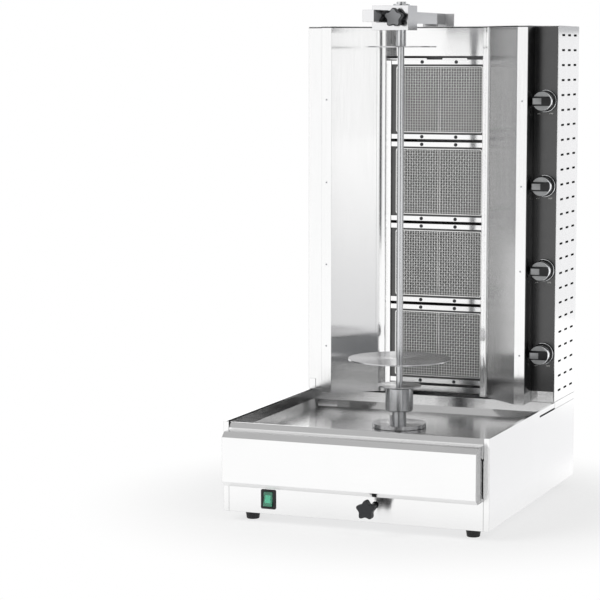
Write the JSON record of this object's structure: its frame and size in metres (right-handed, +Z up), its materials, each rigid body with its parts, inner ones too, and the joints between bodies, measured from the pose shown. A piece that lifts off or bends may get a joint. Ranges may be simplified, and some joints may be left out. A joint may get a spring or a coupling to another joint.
{
  "type": "vertical kebab grill",
  "caption": "Counter-top gas grill with stacked radiant burners between angled wings, a motor-driven vertical spit, a juice pan and a pull-out drawer.",
  "frame": {"origin": "middle of the bounding box on the surface the feet stand on", "axes": "+Z up along the spit, +X to the operator's right, +Y from the operator towards the burners"},
  "size_m": [0.58, 0.744, 1.0847],
  "materials": {
    "stainless_sheet": "polished and lightly brushed stainless sheet",
    "inner_sheet": "mill-finish stainless sheet",
    "turned_steel": "turned and polished stainless bar",
    "brass": "machined brass",
    "rubber": "moulded black rubber",
    "black_panel": "gloss black enamelled steel",
    "ceramic": null,
    "wire_mesh": "heat-dulled woven steel wire",
    "black_plastic": "moulded black thermoset",
    "green_plastic": "translucent green moulding",
    "motor_casting": "black painted die casting"
  },
  "bodies": {
    "chassis": {"base_side_left": "stainless_sheet", "base_side_right": "stainless_sheet", "front_fascia": "stainless_sheet", "base_floor": "inner_sheet", "base_rear": "inner_sheet", "drawer_bay": "stainless_sheet", "juice_pan": "stainless_sheet", "feet": "rubber", "housing_plinth": "stainless_sheet", "housing_side_left": "stainless_sheet", "housing_side_right": "stainless_sheet", "housing_rear": "inner_sheet", "housing_top": "stainless_sheet", "wing_left": "stainless_sheet", "wing_right": "stainless_sheet", "control_panel": "black_panel", "upper_cover": "stainless_sheet", "lower_cover": "stainless_sheet", "burner_body_1": "inner_sheet", "burner_body_2": "inner_sheet", "burner_body_3": "inner_sheet", "burner_body_4": "inner_sheet", "ceramic_plates": "ceramic", "burner_meshes": "wire_mesh", "burner_rails": "stainless_sheet", "rail_screws": "stainless_sheet", "gas_manifold": "brass", "gas_taps": "brass", "feed_pipes": "brass", "gas_inlet": "brass", "cable_gland": "black_plastic", "switch_bezel": "black_plastic", "top_arm": "stainless_sheet", "arm_bracket": "stainless_sheet", "carriage_rails": "inner_sheet"},
    "carriage": {"carriage_plate": "inner_sheet", "gear_motor": "motor_casting", "clamp_rod": "turned_steel"},
    "front_knob": {"front_knob": "black_plastic"},
    "spit": {"drive_shaft": "turned_steel", "turntable": "stainless_sheet", "spit_cup": "turned_steel", "splash_disc": "stainless_sheet", "spit_rod": "turned_steel", "meat_disc": "stainless_sheet"},
    "bearing": {"bearing_block": "stainless_sheet"},
    "sleeve": {"bearing_sleeve": "turned_steel", "upper_disc": "stainless_sheet"},
    "top_knob": {"top_knob": "black_plastic"},
    "drawer": {"drawer_front": "stainless_sheet", "drawer_tray": "stainless_sheet"},
    "rocker": {"rocker": "green_plastic"},
    "stem_1": {"tap_stem_1": "brass"},
    "knob_1": {"gas_knob_1": "black_plastic"},
    "stem_2": {"tap_stem_2": "brass"},
    "knob_2": {"gas_knob_2": "black_plastic"},
    "stem_3": {"tap_stem_3": "brass"},
    "knob_3": {"gas_knob_3": "black_plastic"},
    "stem_4": {"tap_stem_4": "brass"},
    "knob_4": {"gas_knob_4": "black_plastic"}
  },
  "joints": [
    {"name": "spit_distance", "type": "slide", "parent": "chassis", "child": "carriage", "axis": [0, 1, 0], "range_m": [-0.02, 0.02]},
    {"name": "spit_turn", "type": "hinge", "parent": "carriage", "child": "spit", "pos_m": [0, -0.025, 0.2], "axis": [0, 0, 1], "continuous": true},
    {"name": "front_clamp", "type": "hinge", "parent": "carriage", "child": "front_knob", "pos_m": [0.048, -0.364, 0.059], "axis": [0, -1, 0], "range_deg": [0, 270]},
    {"name": "bearing_distance", "type": "slide", "parent": "chassis", "child": "bearing", "axis": [0, 1, 0], "range_m": [-0.02, 0.02]},
    {"name": "sleeve_lift", "type": "slide", "parent": "bearing", "child": "sleeve", "axis": [0, 0, 1], "range_m": [0, 0.03]},
    {"name": "top_clamp", "type": "hinge", "parent": "bearing", "child": "top_knob", "pos_m": [0, -0.07, 1.0507], "axis": [0, -1, 0], "range_deg": [0, 270]},
    {"name": "drawer_slide", "type": "slide", "parent": "chassis", "child": "drawer", "axis": [0, -1, 0], "range_m": [0, 0.26]},
    {"name": "power_rocker", "type": "hinge", "parent": "chassis", "child": "rocker", "pos_m": [-0.188, -0.307, 0.053], "axis": [1, 0, 0], "range_deg": [0, 14]},
    {"name": "tap_push_1", "type": "slide", "parent": "chassis", "child": "stem_1", "axis": [0, 1, 0], "range_m": [0, 0.003], "stiffness_N_per_m": 800, "springref_m": -0.002},
    {"name": "tap_turn_1", "type": "hinge", "parent": "stem_1", "child": "knob_1", "pos_m": [0.2635, 0.165, 0.32061], "axis": [0, -1, 0], "range_deg": [0, 180]},
    {"name": "tap_push_2", "type": "slide", "parent": "chassis", "child": "stem_2", "axis": [0, 1, 0], "range_m": [0, 0.003], "stiffness_N_per_m": 800, "springref_m": -0.002},
    {"name": "tap_turn_2", "type": "hinge", "parent": "stem_2", "child": "knob_2", "pos_m": [0.2635, 0.165, 0.50494], "axis": [0, -1, 0], "range_deg": [0, 180]},
    {"name": "tap_push_3", "type": "slide", "parent": "chassis", "child": "stem_3", "axis": [0, 1, 0], "range_m": [0, 0.003], "stiffness_N_per_m": 800, "springref_m": -0.002},
    {"name": "tap_turn_3", "type": "hinge", "parent": "stem_3", "child": "knob_3", "pos_m": [0.2635, 0.165, 0.68926], "axis": [0, -1, 0], "range_deg": [0, 180]},
    {"name": "tap_push_4", "type": "slide", "parent": "chassis", "child": "stem_4", "axis": [0, 1, 0], "range_m": [0, 0.003], "stiffness_N_per_m": 800, "springref_m": -0.002},
    {"name": "tap_turn_4", "type": "hinge", "parent": "stem_4", "child": "knob_4", "pos_m": [0.2635, 0.165, 0.87359], "axis": [0, -1, 0], "range_deg": [0, 180]}
  ],
  "couplings": [
    {"joint": "bearing_distance", "follows": "spit_distance", "ratio": 1}
  ]
}
